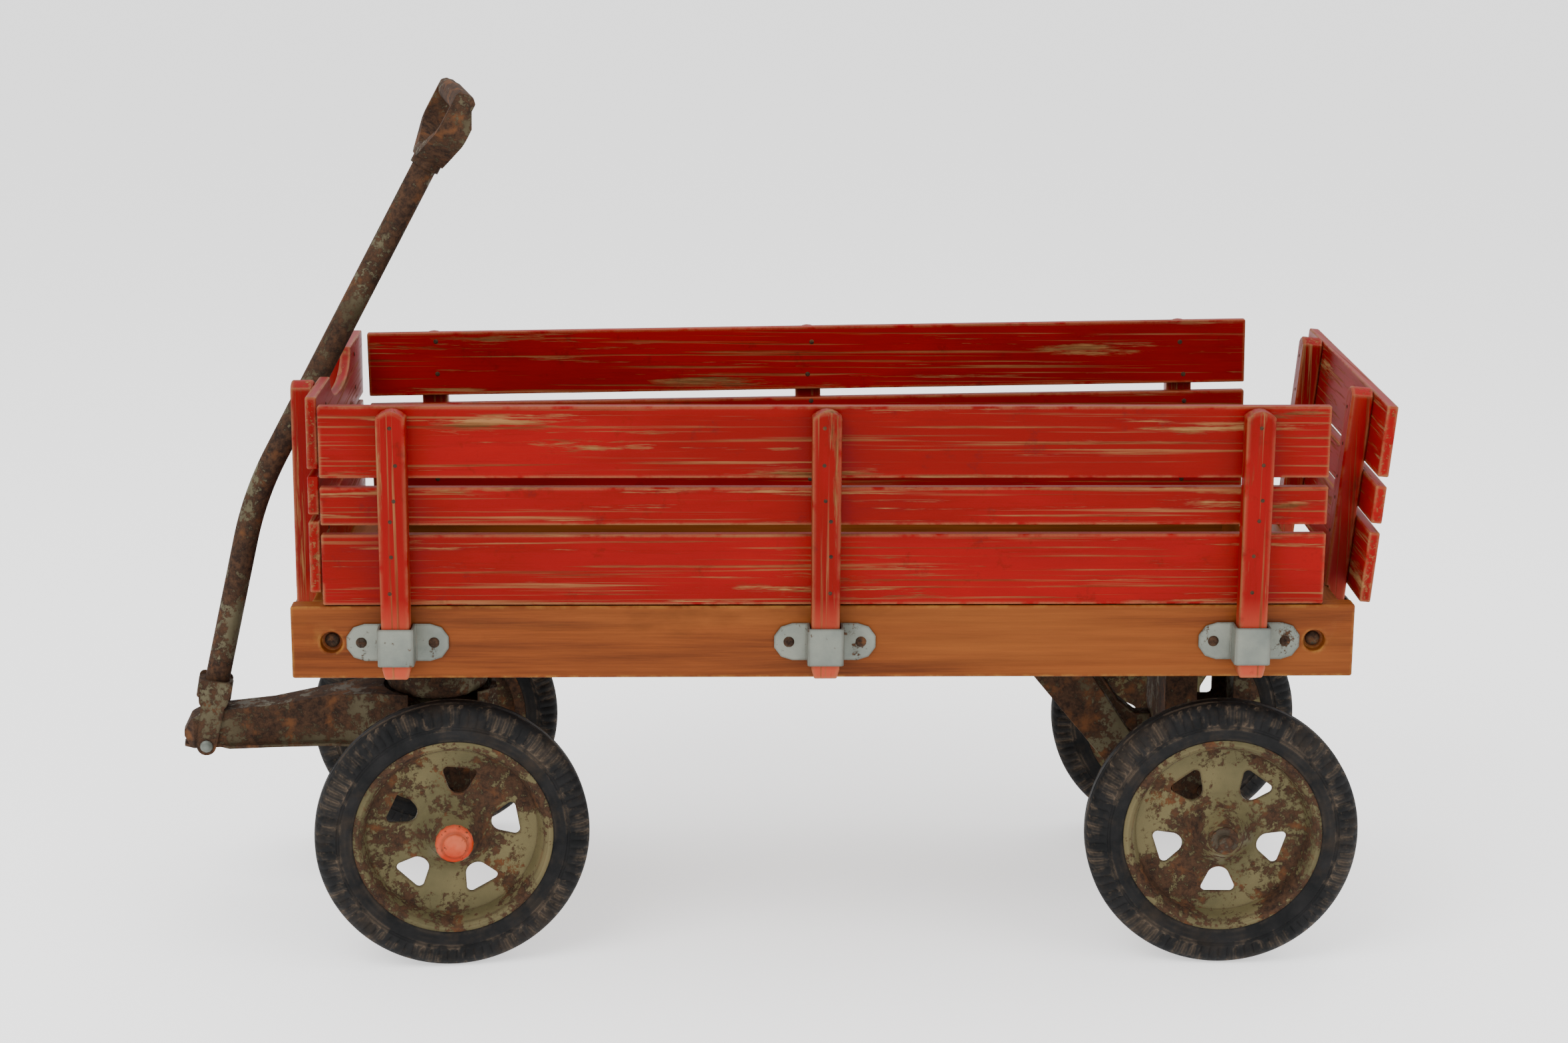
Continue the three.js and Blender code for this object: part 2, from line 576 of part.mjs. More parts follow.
// Tongue: a channel, open below, from the turntable dish to the handle pivot. X is the distance
// from the kingpin. Its lower edges are turned out in a ledge, and its top stands up as a rim
// ahead of the dish and behind it.
function tongue() {
  const nose = -PIVOT_R - NOSE_REACH;
  const rear = 54;
  const lugZ = PIVOT_Z - 7.5;
  const dishTop = TURNTABLE_Z - GAP;
  const dishEdgeZ = dishTop - 8.7;
  const sheet = TONGUE_SHEET + 0.8;
  const topZ = FLOOR_Z;
  const planHalf = [
    [rear, 22], [40, 34], [10, 44], [-35, 40], [-60, 30], [-100, 18], [-150, NOSE_HALF + 0.5],
    [-192, NOSE_HALF], [-200, NOSE_HALF], [nose + 9, NOSE_HALF], [nose, 7],
  ];
  const mirrored = (half) => [...half.map(([x, y]) => [x, -y]), ...[...half].reverse()].reverse();
  const side = [
    [nose + 6, TONGUE_Z], [-PIVOT_R - 8, TONGUE_Z], [-PIVOT_R - 5, lugZ], [-PIVOT_R + 5, lugZ],
    [-PIVOT_R + 8, TONGUE_Z], [rear, TONGUE_Z], [rear, DISH_RIM_Z], [-56, DISH_RIM_Z + 1], [-100, 203],
    [-150, 195], [-200, 191.5], [-PIVOT_R, 190.5], [nose + 7, 184], [nose, 171], [nose, TONGUE_Z + 10],
  ];
  const hollowSide = inset(side, TONGUE_SHEET).filter(([, z]) => z > PIVOT_Z + 1);
  hollowSide.unshift([nose + 6, lugZ - PAST], [rear - TONGUE_SHEET, lugZ - PAST]);
  const outer = common(upright(polygon(mirrored(planHalf)), lugZ, topZ), sideways(polygon(side), -70, 70));
  const ledgeHalf = planHalf.map(([x, y]) => [x, y + (x > -200 ? 7 : 0)]);
  const ledge = upright(polygon(mirrored(ledgeHalf)), TONGUE_Z, TONGUE_Z + TONGUE_SHEET);
  const dishBlock = turnedUp([[0, dishTop - sheet], [30, dishTop - sheet], [DISH_R, dishEdgeZ - sheet],
    [DISH_R, topZ], [0, topZ]], 32);
  const hollow = cut(common(
    upright(polygon(inset(mirrored(planHalf), TONGUE_SHEET)), lugZ - PAST, topZ),
    sideways(polygon(hollowSide), -70, 70),
  ), dishBlock);
  const dish = turnedUp([[9, dishTop - sheet], [30, dishTop - sheet], [DISH_R, dishEdgeZ - sheet],
    [DISH_R, dishEdgeZ], [30, dishTop], [9, dishTop]], 32);
  const cavity = turnedUp([[0, dishTop], [30, dishTop], [DISH_R - 3, dishEdgeZ + 1], [DISH_R - 3, topZ],
    [0, topZ]], 32);
  const boss = rodZ(12, TONGUE_Z, dishTop - 1, 16);
  const shell = union(cut(union(outer, ledge), hollow), dish, boss);
  const kingpinHole = rodZ(BORE_R, TONGUE_Z - PAST, topZ, 16);
  const pivotHole = rodY(PIVOT_BOLT_R + GAP, -40, 40, 12).translate(-PIVOT_R, 0, PIVOT_Z);
  return cut(shell, cavity, kingpinHole, pivotHole);
}

// Inverted channel under the tongue that holds the front axle. X 0 is the axle.
function frontBracket() {
  const half = 21;
  const end = 74;
  const top = TONGUE_Z - GAP;
  const bottom = TYRE_R - 13;
  const shell = cut(
    box(-half, half, -end, end, bottom, top),
    box(-half + AXLE_SHEET, half - AXLE_SHEET, -end + AXLE_SHEET, end - AXLE_SHEET, bottom - PAST, top - AXLE_SHEET),
  );
  const kingpinHole = rodZ(BORE_R, top - 10, top + PAST, 16).translate(-FRONT_AXLE_TRAIL, 0, 0);
  const axleHole = rodY(BORE_R, -end - PAST, end + PAST, 16).translate(0, 0, TYRE_R);
  return cut(shell, kingpinHole, axleHole);
}

// ---------------------------------------------------------------- handle
// Handle frame: origin on the pivot, +X back towards the bed, +Z up.
const tubeAt = (height) => new THREE.Vector3(TUBE_FOOT_X + Math.tan(LOWER_LEAN) * height, 0, height);

function tubePath() {
  const corner = tubeAt(BEND_Z);
  const upper = new THREE.Vector3(Math.sin(UPPER_LEAN), 0, Math.cos(UPPER_LEAN));
  const lower = new THREE.Vector3(Math.sin(LOWER_LEAN), 0, Math.cos(LOWER_LEAN));
  const bendStart = corner.clone().addScaledVector(lower, -BEND_REACH);
  const bendEnd = corner.clone().addScaledVector(upper, BEND_REACH);
  const top = corner.clone().addScaledVector(upper, (TUBE_TOP_Z - BEND_Z) / Math.cos(UPPER_LEAN));
  return { start: tubeAt(TUBE_START_Z), bendStart, corner, bendEnd, top, upper };
}

function handleTube() {
  const { start, bendStart, corner, bendEnd, top } = tubePath();
  const path = new THREE.CurvePath();
  path.add(new THREE.LineCurve3(start, bendStart));
  path.add(new THREE.QuadraticBezierCurve3(bendStart, corner, bendEnd));
  path.add(new THREE.LineCurve3(bendEnd, top));
  const ring = (radius) => {
    const points = [];
    for (let i = 0; i < TUBE_SIDES; i++) {
      const angle = (2 * Math.PI * i) / TUBE_SIDES;
      points.push(new THREE.Vector2(radius * Math.cos(angle), radius * Math.sin(angle)));
    }
    return points;
  };
  const section = new THREE.Shape(ring(TUBE_R));
  section.holes.push(new THREE.Path(ring(TUBE_R - TUBE_WALL)));
  return new THREE.ExtrudeGeometry(section, { steps: 14, bevelEnabled: false, extrudePath: path });
}

// Fork: two ears on the pivot bolt, joined by a socket round the tube's lower end.
function fork() {
  const ear = hullOutline([[0, 0, 8.9], [0, 46, 11]], 8);
  const flare = hullOutline([[-7, 42, 6], [7, 42, 6], [10.8, 57, 4.8], [-10.8, 57, 4.8]], 4);
  const cheeks = [-1, 1].flatMap((side) => {
    const [inner, outer] = [side * EAR_IN, side * EAR_OUT].sort((a, b) => a - b);
    return [sideways(ear, inner, outer), sideways(flare, inner, outer)];
  });
  const socket = rodZ(EAR_IN + 0.3, 42, 60, 20);
  const bridge = box(-8, 8, -EAR_OUT, EAR_OUT, 42, 56);
  const tubeHole = rodZ(TUBE_R + GAP, 20, 90, 20)
    .rotateY(LOWER_LEAN - FORK_LEAN)
    .translate(TUBE_FOOT_X, 0, 0);
  const pivotHole = rodY(PIVOT_BOLT_R + GAP, -40, 40, 12);
  return cut(union(bridge, socket, ...cheeks), tubeHole, pivotHole);
}

// Pivot bolt with its round head on the left and its nut on the right, along Y.
function pivotBolt() {
  const seat = EAR_OUT + GAP;
  return turned([
    [0, -seat - 3.2], [3.6, -seat - 2.8], [6, -seat - 0.9], [6, -seat], [PIVOT_BOLT_R, -seat],
    [PIVOT_BOLT_R, seat], [7, seat], [7, seat + 5], [0, seat + 5],
  ], 12);
}

// Stirrup grip: a steel strap bent round from the socket, with a thicker hand bar across.
function grip() {
  const half = GRIP_WIDTH / 2;
  const strap = 4;
  const barX = -4;
  const barZ = 76;
  const barR = 9.5;
  const outer = hullOutline([[-10, 22, 8], [10, 22, 8], [half - 14, 52, 14], [half - 9, barZ, 9],
    [-half + 9, barZ, 9], [-half + 14, 52, 14]], 4);
  const openHalf = half - strap;
  const inner = hullOutline([[-7, 31, 6], [7, 31, 6], [openHalf - 11, 54, 11], [openHalf - 4, barZ - 3, 4],
    [-openHalf + 4, barZ - 3, 4], [-openHalf + 11, 54, 11]], 4);
  const sideOutline = polygon([
    [-13.5, 14], [13, 14], [13, 24], [12.5, 60], [5.2, 74], [5.5, 81], [2, 85.3], [-10, 85.3], [-13.5, 81],
  ]);
  const strapLoop = common(
    cut(lengthways(outer, -20, 20), lengthways(inner, -20 - PAST, 20 + PAST)),
    sideways(sideOutline, -half - PAST, half + PAST),
  );
  const bar = rodY(barR, -openHalf - 1, openHalf + 1, 14).translate(barX, 0, barZ);
  const collar = rodZ(13.6, 7, 26, 20);
  const socket = rodZ(TUBE_R + GAP, -PAST, GRIP_SEAT, 20);
  return cut(union(strapLoop, bar, collar), socket);
}

function buildFrontGear(parent) {
  const truck = addGroup(parent, KINGPIN_X, 0, 0);
  truck.rotation.z = STEER;
  addPiece(truck, 'tongue', tongue(), rustySteel());
  const axleFrame = addGroup(truck, FRONT_AXLE_TRAIL, 0, 0);
  addPiece(axleFrame, 'front_axle_bracket', frontBracket(), rustySteel());
  addPiece(axleFrame, 'front_axle', axle(3, 9).translate(0, 0, TYRE_R), darkSteel());
  buildWheel(axleFrame, 'front_left', -1, FRONT_LEFT_PHASE, true);
  buildWheel(axleFrame, 'front_right', 1, FRONT_RIGHT_PHASE, false);

  const handle = addGroup(truck, -PIVOT_R, 0, PIVOT_Z);
  addPiece(handle, 'handle_pivot_bolt', pivotBolt(), zinc());
  const forkPiece = addPiece(handle, 'handle_fork', fork(), rustySteel());
  forkPiece.rotation.y = FORK_LEAN;
  addPiece(handle, 'handle_tube', handleTube(), rustySteel());
  const { top, upper } = tubePath();
  const gripPiece = addPiece(handle, 'handle_grip', grip(), rustySteel());
  gripPiece.position.copy(top.clone().addScaledVector(upper, GAP - GRIP_SEAT));
  gripPiece.rotation.set(0, UPPER_LEAN, GRIP_TWIST);
}

// ---------------------------------------------------------------- assembly
const wagon = new THREE.Group();
const group = new THREE.Group();
group.add(wagon);
buildBed(wagon);
buildBrackets(wagon);
buildSidePanels(wagon);
buildEndPanels(wagon);
buildRearGear(wagon);
const fixedTurntable = addGroup(wagon, KINGPIN_X, 0, 0);
addPiece(fixedTurntable, 'turntable_drum', drum(), rustySteel());
addPiece(fixedTurntable, 'kingpin', kingpin(), darkSteel());
buildFrontGear(wagon);

// Put the origin on the floor under the middle of the outline.
const outlineBox = new THREE.Box3().setFromObject(wagon, true);
const middle = outlineBox.getCenter(new THREE.Vector3());
wagon.position.set(-middle.x, -middle.y, -outlineBox.min.z);

export default group;
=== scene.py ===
"""Looks of the stake-sided pull wagon: worn paint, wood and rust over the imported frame."""
import json
import math
import random

import bmesh
import bpy
from mathutils import Matrix, Vector, geometry
from mathutils.bvhtree import BVHTree

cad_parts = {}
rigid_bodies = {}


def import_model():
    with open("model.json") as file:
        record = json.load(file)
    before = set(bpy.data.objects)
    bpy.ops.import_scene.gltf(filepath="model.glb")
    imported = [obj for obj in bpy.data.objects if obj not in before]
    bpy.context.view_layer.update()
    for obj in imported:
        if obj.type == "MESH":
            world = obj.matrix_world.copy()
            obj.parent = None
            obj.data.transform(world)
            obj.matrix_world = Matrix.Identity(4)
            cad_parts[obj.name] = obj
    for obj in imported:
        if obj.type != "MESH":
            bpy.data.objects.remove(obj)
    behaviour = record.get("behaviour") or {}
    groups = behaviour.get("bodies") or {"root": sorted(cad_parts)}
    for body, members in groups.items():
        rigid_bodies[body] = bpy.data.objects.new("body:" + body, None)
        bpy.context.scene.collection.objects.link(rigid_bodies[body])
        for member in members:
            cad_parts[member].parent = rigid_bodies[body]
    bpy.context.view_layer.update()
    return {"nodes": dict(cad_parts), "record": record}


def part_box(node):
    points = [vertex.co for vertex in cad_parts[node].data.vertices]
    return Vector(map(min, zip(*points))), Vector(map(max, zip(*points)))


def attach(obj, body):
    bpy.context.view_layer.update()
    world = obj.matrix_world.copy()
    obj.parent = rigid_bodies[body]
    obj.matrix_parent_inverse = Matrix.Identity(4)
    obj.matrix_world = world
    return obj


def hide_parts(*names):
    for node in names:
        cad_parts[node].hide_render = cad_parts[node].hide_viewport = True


MM = 0.001

# wheels, in mm; profiles are (radius, distance outwards from the wheel's middle plane)
WHEEL_STEPS = 96
TREAD_NOTCHES = 88
NOTCH_DEPTH = 1.5
NOTCH_FROM, NOTCH_TO = 103, 119
SHOULDER_FROM = 10      # notches lie this far or further from the middle plane
SHOULDER_HALF = 17
TYRE_SIDE = [
    (87.5, 14.6), (89.5, 16.6), (94, 18.2), (99, 18.5), (100, 17.6), (101.5, 17.6), (102.5, 18.4),
    (106, 18.1), (111, 17.2), (115, 15.4), (118, 12.4), (119.6, 9.4), (120.3, 6.6), (119.4, 5.6),
    (119.4, 4.6), (120.4, 3.6), (120.4, 0),
]
WHEEL_PROFILE = [
    (6.8, -27), (13, -27), (13, 8), (19, 8), (26, 0), (33, -6.3), (62, -6.8), (74, -5.4), (77.8, -5.4),
    (77.8, -15.4), (87.8, -15.4), (87.8, -13.1), (80.3, -13.1), (80.3, 13.1), (87.8, 13.1), (87.6, 15.2),
    (85.8, 16.4), (83, 16.4), (81, 14.8), (78.6, 10.6), (77, 6.5), (75.9, 0), (75, -2.2), (62, -4),
    (40, -3.6), (34, -2.2), (29, 2.2), (24, 8), (20, 13.6), (17, 20), (14.6, 24.6), (14, 27), (6.8, 27),
]
WINDOW_CIRCLES = [(0, 45, 10), (10.6, 54.2, 4.3), (-10.6, 54.2, 4.3)]
WINDOWS = 5
WHEEL_PHASES = {"front_left": 3.0, "front_right": -0.07, "rear_left": 0.0, "rear_right": -0.305}

# handle tube, in mm from its pivot
TUBE_R = 11.1
TUBE_FOOT_X = -2
TUBE_START_Z, TUBE_BEND_Z, TUBE_TOP_Z = 44, 231, 536
BEND_REACH = 42
LOWER_LEAN, UPPER_LEAN = math.radians(13.1), math.radians(28.4)

# fasteners, in mm
SCREW_OFFSET = 31       # bracket screws either side of the stake
BRACKET_STANDOFF = 19.8  # from a bracket's outer face back to its ears
RAIL_BOLT_X = 423
BOLT_SEAT = 8.6         # bolts' seats below the rails' outer faces
NAIL_SPREAD = 16        # nails above and below a board's middle
NAIL_SCATTER = 4

# width of the rounding on each material's edges, in mm
EDGE_WIDTH = {
    "rail_wood": 1.8, "floor_wood": 0.8, "red_paint": 1.3, "galvanised_steel": 0.7, "cap_red": 0.8,
}
STEEL_EDGE = 0.8

# how a surface's own colour differs from how it looks in bright light
DEPTH, SATURATION = 0.5, 1.25
MATT_SPECULAR = 0.1

# camera, in metres and degrees
CAMERA_PLACE = (-0.05435, -2.6295, 0.9877)
CAMERA_DOWN, CAMERA_TURN, CAMERA_ROLL = 13.428, -1.459, 0.281
CAMERA_LENS = 67.3

random.seed(7)
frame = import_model()
record = frame["record"]
SLOT_OF = {part["node"]: part["material_slot"] for part in record["subparts"]}
BODY_OF = {node: body for body, nodes in record["behaviour"]["bodies"].items() for node in nodes}
JOINT = {joint["name"]: joint for joint in record["behaviour"]["joints"]}


# ------------------------------------------------------------------ materials
class Graph:
    """A material's nodes, with short ways to add the ones used here."""

    def __init__(self, name):
        self.material = bpy.data.materials.new(name)
        self.material.use_nodes = True
        self.tree = self.material.node_tree
        self.shader = self.tree.nodes["Principled BSDF"]
        self.object_place = self.tree.nodes.new("ShaderNodeTexCoord").outputs["Object"]

    def put(self, socket, value):
        if isinstance(value, bpy.types.NodeSocket):
            self.tree.links.new(value, socket)
        elif isinstance(value, str):
            socket.default_value = colour(value)
        else:
            socket.default_value = value

    def noise(self, scale, stretch=(1, 1, 1), detail=5, roughness=0.6):
        mapping = self.tree.nodes.new("ShaderNodeMapping")
        self.put(mapping.inputs["Vector"], self.object_place)
        mapping.inputs["Scale"].default_value = stretch
        mapping.inputs["Location"].default_value = [random.uniform(-3, 3) for _ in range(3)]
        noise = self.tree.nodes.new("ShaderNodeTexNoise")
        self.put(noise.inputs["Vector"], mapping.outputs["Vector"])
        noise.inputs["Scale"].default_value = scale
        noise.inputs["Detail"].default_value = detail
        noise.inputs["Roughness"].default_value = roughness
        return noise.outputs["Fac"]

    def steps(self, value, low, high, to_low=0.0, to_high=1.0):
        ramp = self.tree.nodes.new("ShaderNodeMapRange")
        for index, number in enumerate((value, low, high, to_low, to_high)):
            self.put(ramp.inputs[index], number)
        return ramp.outputs["Result"]

    def mix(self, factor, a, b):
        mix = self.tree.nodes.new("ShaderNodeMix")
        mix.data_type = "RGBA"
        for name, value in (("Factor", factor), ("A", a), ("B", b)):
            wanted = "VALUE" if name == "Factor" else "RGBA"
            self.put(next(s for s in mix.inputs if s.name == name and s.type == wanted), value)
        return next(s for s in mix.outputs if s.type == "RGBA")

    def math(self, operation, a, b=0.0, clamp=False):
        node = self.tree.nodes.new("ShaderNodeMath")
        node.operation = operation
        node.use_clamp = clamp
        self.put(node.inputs[0], a)
        self.put(node.inputs[1], b)
        return node.outputs[0]

    def edges(self, radius):
        """1 on the rounded edges of a piece, 0 on its faces."""
        bevel = self.tree.nodes.new("ShaderNodeBevel")
        bevel.inputs["Radius"].default_value = radius
        face = self.tree.nodes.new("ShaderNodeNewGeometry")
        dot = self.tree.nodes.new("ShaderNodeVectorMath")
        dot.operation = "DOT_PRODUCT"
        self.put(dot.inputs[0], bevel.outputs["Normal"])
        self.put(dot.inputs[1], face.outputs["True Normal"])
        return self.steps(dot.outputs["Value"], 1.0, 0.82)

    def height(self):
        place = self.tree.nodes.new("ShaderNodeSeparateXYZ")
        self.put(place.inputs[0], self.object_place)
        return place.outputs["Z"]

    def finish(self, base, roughness, metallic=0.0, bump=None, depth=0.0004):
        self.put(self.shader.inputs["Base Color"], base)
        self.put(self.shader.inputs["Roughness"], roughness)
        self.put(self.shader.inputs["Metallic"], metallic)
        self.shader.inputs["Specular IOR Level"].default_value = MATT_SPECULAR
        if bump is not None:
            node = self.tree.nodes.new("ShaderNodeBump")
            node.inputs["Strength"].default_value = 0.7
            node.inputs["Distance"].default_value = depth
            self.put(node.inputs["Height"], bump)
            self.put(self.shader.inputs["Normal"], node.outputs["Normal"])
        return self.material


def colour(code):
    """A hex colour, as it looks in bright light, made into the deeper linear values a shader takes."""
    parts = [int(code[i:i + 2], 16) / 255 for i in (1, 3, 5)]
    linear = [p / 12.92 if p < 0.04045 else ((p + 0.055) / 1.055) ** 2.4 for p in parts]
    grey = 0.21 * linear[0] + 0.72 * linear[1] + 0.07 * linear[2]
    return [max(0.0, (grey + (p - grey) * SATURATION) * DEPTH) for p in linear] + [1.0]


def along(axis, ratio):
    """Texture stretch that draws noise out along one axis."""
    return tuple(ratio if index == axis else 1.0 for index in range(3))


def varnished_wood(name, axis, dark, middle, light):
    graph = Graph(name)
    grain = graph.noise(160, along(axis, 0.03), 6, 0.7)
    broad = graph.noise(14, along(axis, 0.12), 4, 0.55)
    base = graph.mix(graph.steps(grain, 0.36, 0.64), dark, middle)
    base = graph.mix(graph.steps(broad, 0.45, 0.7, 0.0, 0.8), base, light)
    stain = graph.steps(graph.noise(6, along(axis, 0.4), 6, 0.7), 0.56, 0.74, 0.0, 0.75)
    base = graph.mix(stain, base, "#4a2a14")
    scuffs = graph.math("MULTIPLY", graph.edges(0.004), graph.steps(graph.noise(60), 0.45, 0.6))
    base = graph.mix(scuffs, base, "#c79a62")
    return graph.finish(base, graph.steps(broad, 0.3, 0.7, 0.38, 0.6), bump=grain)


def worn_paint(name, axis, paler_below=None):
    graph = Graph(name)
    grain = graph.noise(150, along(axis, 0.035), 6, 0.72)
    patches = graph.noise(44, along(axis, 0.09), 7, 0.68)
    tone = graph.mix(graph.steps(graph.noise(9, along(axis, 0.3)), 0.4, 0.65), "#8a1210", "#a51a15")
    tone = graph.mix(graph.steps(grain, 0.52, 0.72, 0.0, 0.55), tone, "#5e120f")
    if paler_below is not None:
        # the stakes' paint is mixed towards a paler pink below a set height
        paler = graph.steps(graph.height(), paler_below + 0.02, paler_below - 0.02, 0.0, 0.75)
        tone = graph.mix(paler, tone, "#cf6a55")
    bare = graph.mix(graph.steps(grain, 0.4, 0.62), "#66402a", "#b08360")
    along_grain = graph.steps(grain, 0.6, 0.67, 0.0, 0.85)
    worn = graph.math("ADD", graph.steps(patches, 0.6, 0.66), along_grain, True)
    lines = graph.steps(graph.noise(330, along(axis, 0.012), 3, 0.5), 0.57, 0.65, 0.0, 0.65)
    worn = graph.math("MAXIMUM", worn, lines)
    ends = graph.math("MULTIPLY", graph.edges(0.0045), graph.steps(graph.noise(45), 0.36, 0.5))
    base = graph.mix(worn, tone, bare)
    base = graph.mix(ends, base, "#b08a68")
    dirt = graph.steps(graph.noise(30, detail=8, roughness=0.75), 0.58, 0.72, 0.0, 0.5)
    base = graph.mix(dirt, base, "#3d1a12")
    relief = graph.math("SUBTRACT", grain, worn)
    return graph.finish(base, graph.steps(worn, 0, 1, 0.42, 0.78), bump=relief)


def rusting(name, paint, other_paint, rust_amount, gloss=0.45, metallic=0.35):
    """Flaking paint or plating over steel that rusts in patches, most of all along edges."""
    graph = Graph(name)
    broad = graph.noise(22, detail=8, roughness=0.68)
    fine = graph.noise(170, detail=6, roughness=0.75)
    flakes = graph.math("ADD", graph.math("MULTIPLY", broad, 0.6), graph.math("MULTIPLY", fine, 0.4))
    threshold = 0.62 - 0.2 * rust_amount
    rust = graph.steps(flakes, threshold, threshold + 0.035)
    rust = graph.math("ADD", rust, graph.math("MULTIPLY", graph.edges(0.003), 0.7), True)
    coat = graph.mix(graph.steps(graph.noise(12), 0.4, 0.62), paint, other_paint)
    oxide = graph.mix(graph.steps(fine, 0.4, 0.62), "#332823", "#5c4638")
    oxide = graph.mix(graph.steps(graph.noise(48, detail=7), 0.55, 0.68), oxide, "#78543e")
    metal = graph.steps(rust, 0, 1, metallic, 0.0)
    rough = graph.steps(rust, 0, 1, gloss, 0.82)
    bump = graph.math("SUBTRACT", fine, graph.math("MULTIPLY", rust, 0.6))
    return graph.finish(graph.mix(rust, coat, oxide), rough, metal, bump, 0.0005)


def dusty_rubber(name):
    graph = Graph(name)
    dust = graph.steps(graph.noise(24, detail=8, roughness=0.7), 0.5, 0.76, 0.0, 0.6)
    fine = graph.noise(260, detail=5)
    base = graph.mix(graph.steps(graph.noise(40), 0.35, 0.7), "#161718", "#2a2929")
    base = graph.mix(dust, base, "#4d4238")
    scuffed = graph.math("MULTIPLY", graph.edges(0.003), graph.steps(graph.noise(60), 0.48, 0.6))
    base = graph.mix(scuffed, base, "#77695b")
    return graph.finish(base, graph.steps(dust, 0, 1, 0.62, 0.9), bump=fine, depth=0.0003)


def chipped_cap(name):
    graph = Graph(name)
    chips = graph.steps(graph.noise(90, detail=7, roughness=0.7), 0.6, 0.64)
    base = graph.mix(graph.steps(graph.noise(30), 0.4, 0.65), "#c8482f", "#de7a62")
    rubbed = graph.math("MULTIPLY", graph.edges(0.002), 0.4)
    base = graph.mix(graph.math("ADD", chips, rubbed, True), base, "#5b4030")
    return graph.finish(base, graph.steps(chips, 0, 1, 0.4, 0.75), bump=chips, depth=0.0003)


# height in metres below which the stakes' paint is paler
PALER_BELOW = 0.325
MATERIALS = {
    "rail_x": varnished_wood("rail_wood_long", 0, "#6a3a24", "#915436", "#a56843"),
    "rail_y": varnished_wood("rail_wood_across", 1, "#6a3a24", "#915436", "#a56843"),
    "floor": varnished_wood("floor_wood", 0, "#5f3d28", "#865a3a", "#9a7350"),
    "paint_x": worn_paint("red_paint_long", 0),
    "paint_y": worn_paint("red_paint_across", 1),
    "paint_z": worn_paint("red_paint_stakes", 2, PALER_BELOW),
    "zinc": rusting("galvanised_steel", "#858a84", "#a4a79d", 0.35, 0.4, 0.5),
    "steel": rusting("rusty_steel", "#7a7460", "#5a5040", 0.86, 0.5, 0.3),
    "dark": rusting("dark_steel", "#5f584c", "#433a32", 0.85),
    "wheel": rusting("wheel_paint", "#6e6850", "#857c60", 0.66, 0.5, 0.2),
    "tyre": dusty_rubber("tyre_rubber"),
    "cap": chipped_cap("cap_red"),
}


SHORT_NAMES = {
    "floor_wood": "floor", "galvanised_steel": "zinc", "rusty_steel": "steel", "dark_steel": "dark",
    "wheel_paint": "wheel", "tyre_rubber": "tyre", "cap_red": "cap",
}


def material_for(node):
    slot = SLOT_OF[node]
    if slot == "red_paint":
        if "_stake_" in node:
            return MATERIALS["paint_z"]
        return MATERIALS["paint_x" if node.startswith(("left", "right")) else "paint_y"]
    if slot == "rail_wood":
        return MATERIALS["rail_x" if node.startswith(("left", "right")) else "rail_y"]
    return MATERIALS[SHORT_NAMES[slot]]


# ------------------------------------------------------------------ pieces
def add_piece(name, mesh, material, body, place=None):
    piece = bpy.data.objects.new(name, mesh)
    bpy.context.scene.collection.objects.link(piece)
    if place is not None:
        piece.matrix_world = place
    mesh.materials.clear()
    mesh.materials.append(material)
    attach(piece, body)
    return piece


def soften(node):
    """Stands in for a CAD node with the same piece, its edges rounded over."""
    mesh = frame["nodes"][node].data.copy()
    graph = bmesh.new()
    graph.from_mesh(mesh)
    bmesh.ops.remove_doubles(graph, verts=graph.verts, dist=0.00002)
    bmesh.ops.dissolve_limit(graph, angle_limit=math.radians(0.6), verts=graph.verts, edges=graph.edges)
    graph.to_mesh(mesh)
    graph.free()
    mesh.shade_smooth()
    mesh.set_sharp_from_angle(angle=math.radians(32))
    slot = SLOT_OF[node]
    piece = add_piece(node + "_look", mesh, material_for(node), BODY_OF[node])
    bevel = piece.modifiers.new("rounded edges", "BEVEL")
    bevel.width = EDGE_WIDTH.get(slot, STEEL_EDGE) * MM
    bevel.segments = 2
    bevel.limit_method = "ANGLE"
    bevel.angle_limit = math.radians(33)
    bevel.harden_normals = True
    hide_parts(node)
    return piece


def revolved(name, profile, steps, shape=lambda radius, offset, step: (radius, offset)):
    """Mesh turned about Y from a closed loop of (radius, offset) in mm, which shape may vary."""
    count = len(profile)
    points = []
    for step in range(steps):
        angle = 2 * math.pi * step / steps
        for radius, offset in profile:
            r, y = shape(radius, offset, step)
            points.append((r * MM * math.sin(angle), y * MM, r * MM * math.cos(angle)))
    faces = []
    for step in range(steps):
        here, there = step * count, ((step + 1) % steps) * count
        for i in range(count):
            k = (i + 1) % count
            faces.append((here + i, here + k, there + k, there + i))
    mesh = bpy.data.meshes.new(name)
    mesh.from_pydata(points, [], faces)
    graph = bmesh.new()
    graph.from_mesh(mesh)
    bmesh.ops.recalc_face_normals(graph, faces=graph.faces)
    graph.to_mesh(mesh)
    graph.free()
    mesh.shade_smooth()
    mesh.set_sharp_from_angle(angle=math.radians(38))
    return mesh


def tyre_mesh():
    outer = TYRE_SIDE[:-1]
    foot = [(82, 12), (82, -12)]
    profile = foot + [(r, -y) for r, y in outer] + TYRE_SIDE[-1:] + list(reversed(outer))

    def notched(radius, offset, step):
        on_shoulder = NOTCH_FROM < radius < NOTCH_TO and abs(offset) > SHOULDER_FROM
        if step % 3 == 0 and on_shoulder:
            return radius - NOTCH_DEPTH * 0.5, offset * (1 - NOTCH_DEPTH / SHOULDER_HALF)
        return radius, offset

    return revolved("tyre", profile, 3 * TREAD_NOTCHES, notched)


